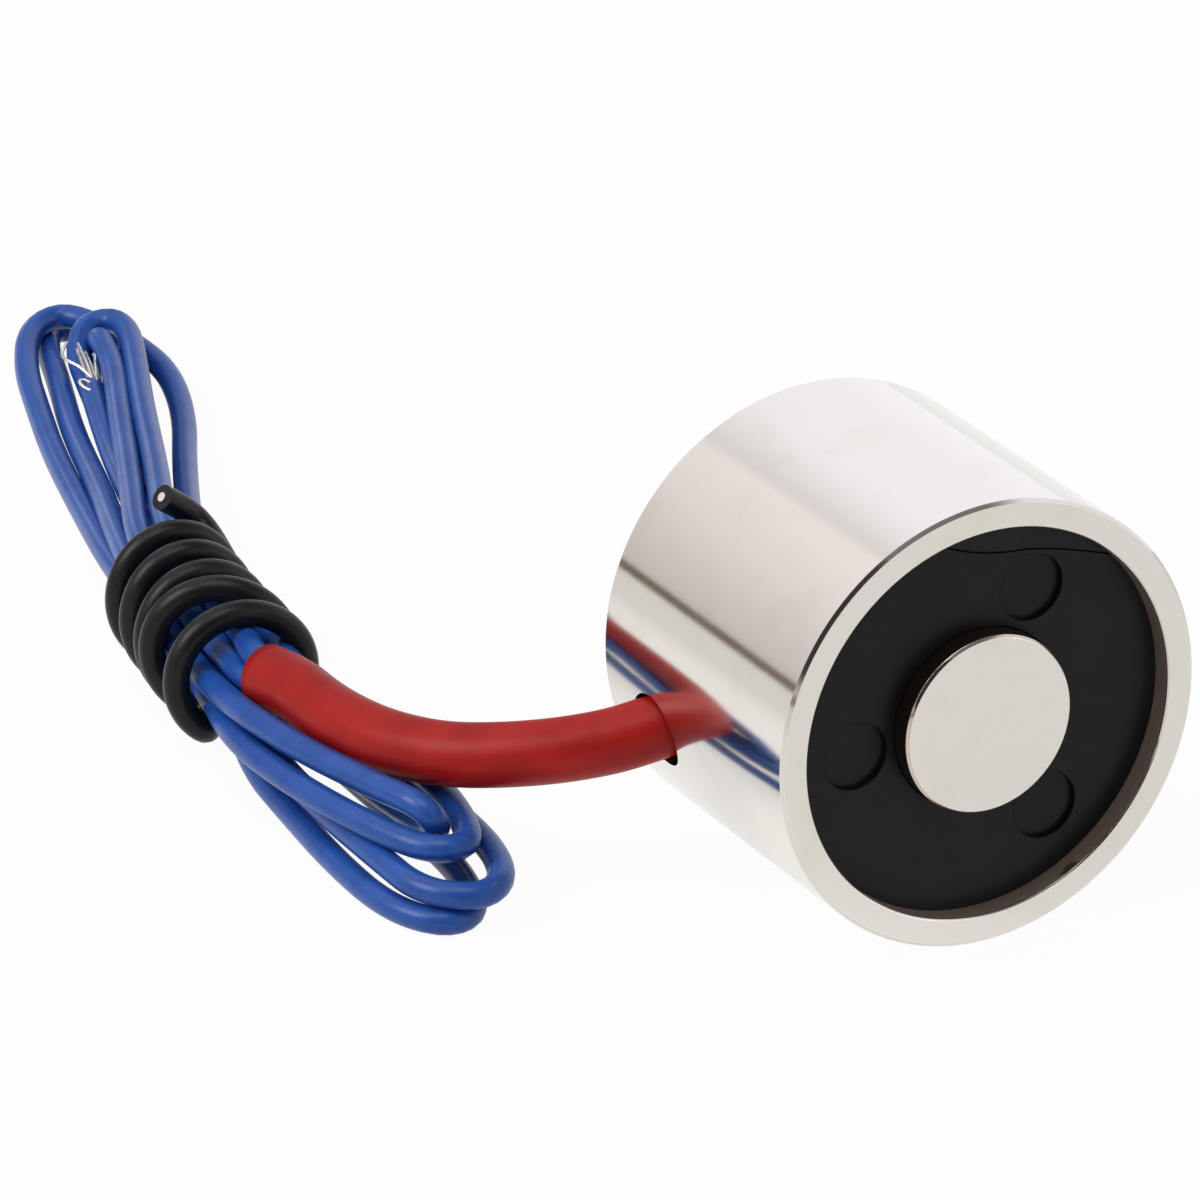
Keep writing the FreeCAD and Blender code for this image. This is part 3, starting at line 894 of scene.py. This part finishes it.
make_pot()
make_pole()
make_thread()
lead_a, path_a = make_lead(LEAD_A, "lead_a_cord", "lead_a", "lead_hank")
lead_b, path_b = make_lead(LEAD_B, "lead_b_cord", "lead_b")
sleeve = make_sleeve()
tie, tie_core, tie_path = make_tie()
end_a = make_strands("lead_a_bare_end", STRANDS_A, STRAND_RADIUS_A)
end_b = make_strands("lead_b_bare_end", STRANDS_B, STRAND_RADIUS_B)
make_part_line()

round(path_length(tie_path), 3)

for node, material in (("bobbin", BOBBIN_NYLON), ("potting_resin", RESIN),
                       ("coil_winding", COPPER), ("winding_tape", TAPE),
                       ("splice_a", TINNED), ("splice_b", TINNED)):
    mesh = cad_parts[node].data
    mesh.materials.clear()
    mesh.materials.append(material)

# ------------------------------------------------------------- floor, lights and camera

WHITE = (1, 1, 1)
TABLE_RADIUS = 0.9
ROOM_LIGHT = (0.27, 0.27, 0.28)
STAND_WAY = (-0.464, -0.787, 0.406)
STAND_INNER = math.radians(25)
STAND_OUTER = math.radians(31)
CAMERA_PLACE = (-0.16586, -0.28136, 0.14530)
CAMERA_DOWN = math.radians(24.016)
CAMERA_RIGHT = math.radians(28.957)
LENS_MM = 250.0
SENSOR_MM = 36.0


def make_floor():
    """A white table top, which the camera sees as white; the plating sees it mostly as a
    painted glow, brightest near the magnet and dimmer to the far left and in front, over
    its own lit shading.
    """
    bm = bmesh.new()
    bmesh.ops.create_circle(bm, cap_ends=True, segments=96, radius=TABLE_RADIUS)
    bmesh.ops.translate(bm, vec=(0, 0, SURFACE_Z), verts=bm.verts)
    mesh = bpy.data.meshes.new("table_top")
    bm.to_mesh(mesh)
    bm.free()
    floor = bpy.data.objects.new("table_top", mesh)
    bpy.context.scene.collection.objects.link(floor)
    finish = Finish("white_table_painted_glow", Roughness=0.9, Specular_IOR_Level=0.1)
    x, y = finish.parts(finish.place)[:2]
    # The glow the plating mirrors is painted light: brightest near the magnet, dimmer to
    # the far left and in front.
    left = finish.limits(y * 0.3 - x, 0.03, 0.09)
    front = finish.limits(x * 0.5 - y, 0.010, 0.030)
    painted_floor_glow = finish.blend(finish.blend((1.05, 1.055, 1.05), (0.74, 0.735, 0.71), left),
                         (0.83, 0.835, 0.81), front)
    cloud = finish.speckle(0.2)
    finish.paint(Base_Color=finish.blend((0.80, 0.80, 0.79), (0.82, 0.82, 0.81), cloud))
    seen, mirrored = finish.ray_kinds()
    glow = finish.node("ShaderNodeEmission", None,
                       {"Color": finish.blend(painted_floor_glow, WHITE, seen), "Strength": 1.0})
    lit = Reading(finish, finish.shader.outputs[0])
    mixed = finish.node("ShaderNodeMixShader", None,
                        {0: seen * 0.95 + mirrored * 0.7, 1: lit, 2: glow})
    output = next(node for node in finish.tree.nodes if node.type == "OUTPUT_MATERIAL")
    finish.tree.links.new(mixed.socket, output.inputs[0])
    mesh.materials.append(finish.material)


def bearings(room, bearing, start, end, *values):
    """A value that changes between two bearings, given in degrees."""
    return room.limits(bearing, math.radians(start), math.radians(end), *values)


def mirrored_room(room):
    """The white room as polished metal mirrors it: a paler back, a wall on the left that
    darkens down to the table, a thin dark line where the two meet, a dim far end with a
    bright window in it, a dim ceiling, and a dark stand in front."""
    way = room.node("ShaderNodeTexCoord", output="Generated")
    east, north, up = room.parts(way)
    bearing = room.node("ShaderNodeMath", {"operation": "ARCTAN2"}, {0: north, 1: east})
    left = room.node("ShaderNodeMath", {"operation": "MAXIMUM"}, {
        0: bearings(room, bearing, 98, 103),
        1: bearings(room, bearing, -110, -80, 1.0, 0.0)})
    turn = bearings(room, bearing, 74, 99, 0.0, 1.0, "LINEAR")
    back = room.blend((1.04, 1.04, 1.12), (0.80, 0.78, 0.79), turn * turn)
    wall = room.blend((0.62, 0.575, 0.58), (1.02, 0.97, 0.98),
                      room.limits(up, 0.0, 0.62, kind="LINEAR"))
    line = room.band(up, 0.006, 0.020, 0.012) * left
    far_end = room.limits(north, 0.805, 0.84)
    window = (room.limits(north, 0.945, 0.97) * room.limits(east, 0.10, 0.02, 1.0, 0.0)
              * room.limits(up, 0.04, 0.10))
    ceiling = room.limits(up, 0.68, 0.80)
    towards = room.node("ShaderNodeVectorMath", {"operation": "DOT_PRODUCT"},
                        {0: way, 1: STAND_WAY}, "Value")
    stand = room.limits(towards, math.cos(STAND_OUTER), math.cos(STAND_INNER))
    shade = room.blend(back, wall, left)
    for tone, share in (((0.13, 0.09, 0.06), line), ((0.30, 0.30, 0.31), far_end),
                        ((1.9, 1.9, 1.95), window), ((0.22, 0.22, 0.23), ceiling),
                        ((0.05, 0.045, 0.045), stand)):
        shade = room.blend(shade, tone, share)
    return shade


def make_world():
    """White to the camera, an even soft light on the part, and a room in its plating."""
    world = bpy.data.worlds.new("studio")
    world.use_nodes = True
    room = Nodes(world.node_tree)
    seen, mirrored = room.ray_kinds()
    shade = room.blend(ROOM_LIGHT, mirrored_room(room), mirrored)
    light = room.node("ShaderNodeBackground", None,
                      {"Color": room.blend(shade, WHITE, seen), "Strength": 1.0})
    output = room.tree.nodes.new("ShaderNodeOutputWorld")
    room.tree.links.new(light.socket, output.inputs[0])
    bpy.context.scene.world = world


def softbox(name, place, width, height, power):
    """A flat light that faces the magnet."""
    light = bpy.data.lights.new(name, "AREA")
    light.shape = "RECTANGLE"
    light.size = width
    light.size_y = height
    light.energy = power
    lamp = bpy.data.objects.new(name, light)
    lamp.location = place
    lamp.rotation_euler = (-Vector(place)).to_track_quat("-Z", "Y").to_euler()
    bpy.context.scene.collection.objects.link(lamp)


def make_camera():
    """A long lens, from the left and above the holding face."""
    data = bpy.data.cameras.new("camera")
    data.lens = LENS_MM
    data.sensor_width = SENSOR_MM
    data.clip_start = 0.01
    data.clip_end = 10.0
    camera = bpy.data.objects.new("camera", data)
    camera.location = CAMERA_PLACE
    camera.rotation_euler = (math.pi / 2 - CAMERA_DOWN, 0.0, -CAMERA_RIGHT)
    bpy.context.scene.collection.objects.link(camera)
    bpy.context.scene.camera = camera
    bpy.context.scene.view_settings.view_transform = "Standard"


make_floor()
make_world()
softbox("overhead_softbox", (-0.20, -0.15, 0.80), 0.5, 0.5, 2.3)
softbox("left_softbox", (-0.62, 0.12, 0.48), 0.40, 0.40, 3.0)
softbox("right_softbox", (0.66, -0.54, 0.28), 0.5, 0.5, 0.8)
softbox("rear_softbox", (-0.15, 0.45, 0.80), 0.6, 0.4, 0.9)
make_camera()
